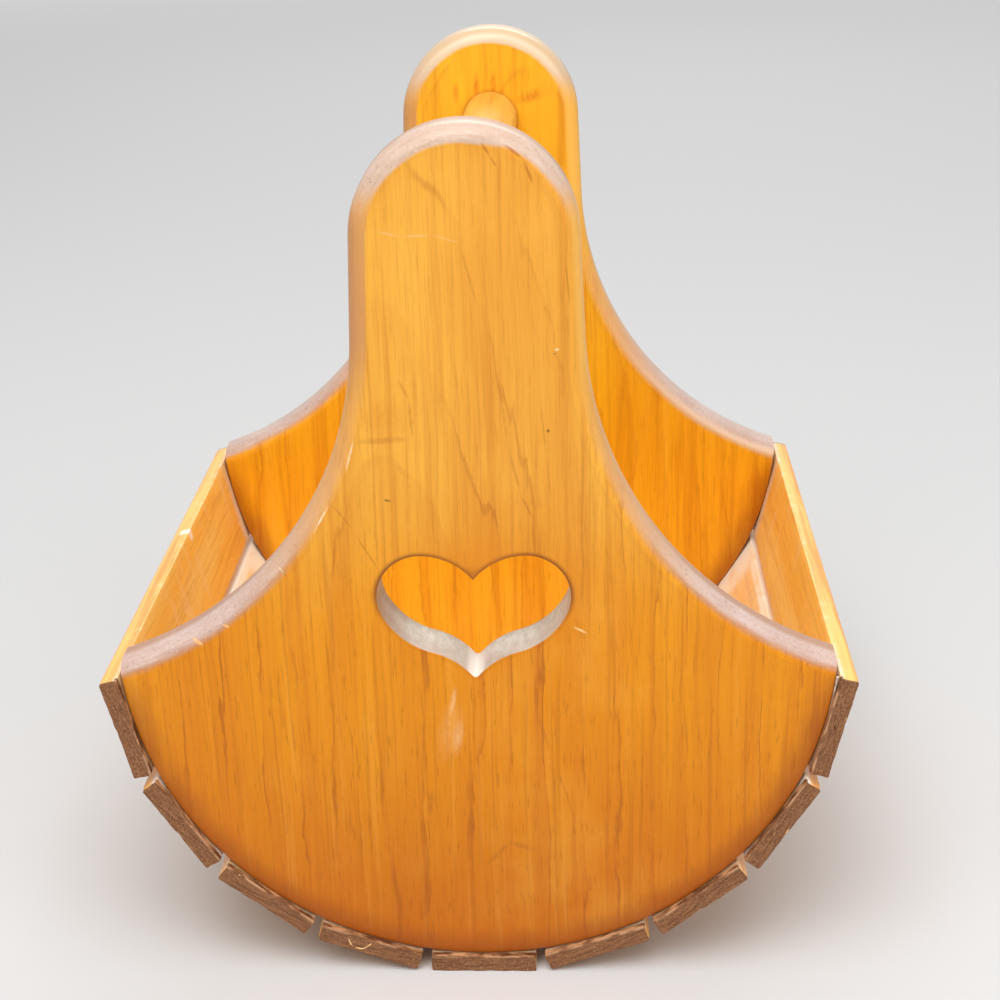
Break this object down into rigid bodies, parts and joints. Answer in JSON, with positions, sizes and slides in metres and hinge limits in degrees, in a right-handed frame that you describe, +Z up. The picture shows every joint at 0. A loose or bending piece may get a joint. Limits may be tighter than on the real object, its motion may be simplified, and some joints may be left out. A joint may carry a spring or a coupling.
{
  "type": "slatted garden basket",
  "caption": "Open wooden garden basket with shaped end boards, heart cut-outs, a round slatted bottom and a dowel carrying handle.",
  "frame": {"origin": "centre of the basket's footprint on the surface it stands on, at the outer face of the bottom slat", "axes": "+X across the basket, +Y along the handle from the front end board to the back one, +Z up"},
  "size_m": [0.2582, 0.2354, 0.3049],
  "materials": {
    "board_wood": "gloss varnish, honey amber",
    "slat_wood": "satin varnish, rough sawn ends",
    "dowel_wood": "satin varnish",
    "nail_steel": "dull steel"
  },
  "bodies": {
    "root": {"end_board_front": "board_wood", "end_board_back": "board_wood", "handle_dowel": "dowel_wood", "slat_bottom": "slat_wood", "slat_left_1": "slat_wood", "slat_left_2": "slat_wood", "slat_left_3": "slat_wood", "slat_left_4": "slat_wood", "slat_right_1": "slat_wood", "slat_right_2": "slat_wood", "slat_right_3": "slat_wood", "slat_right_4": "slat_wood", "nails_front": "nail_steel", "nails_back": "nail_steel"}
  },
  "joints": []
}
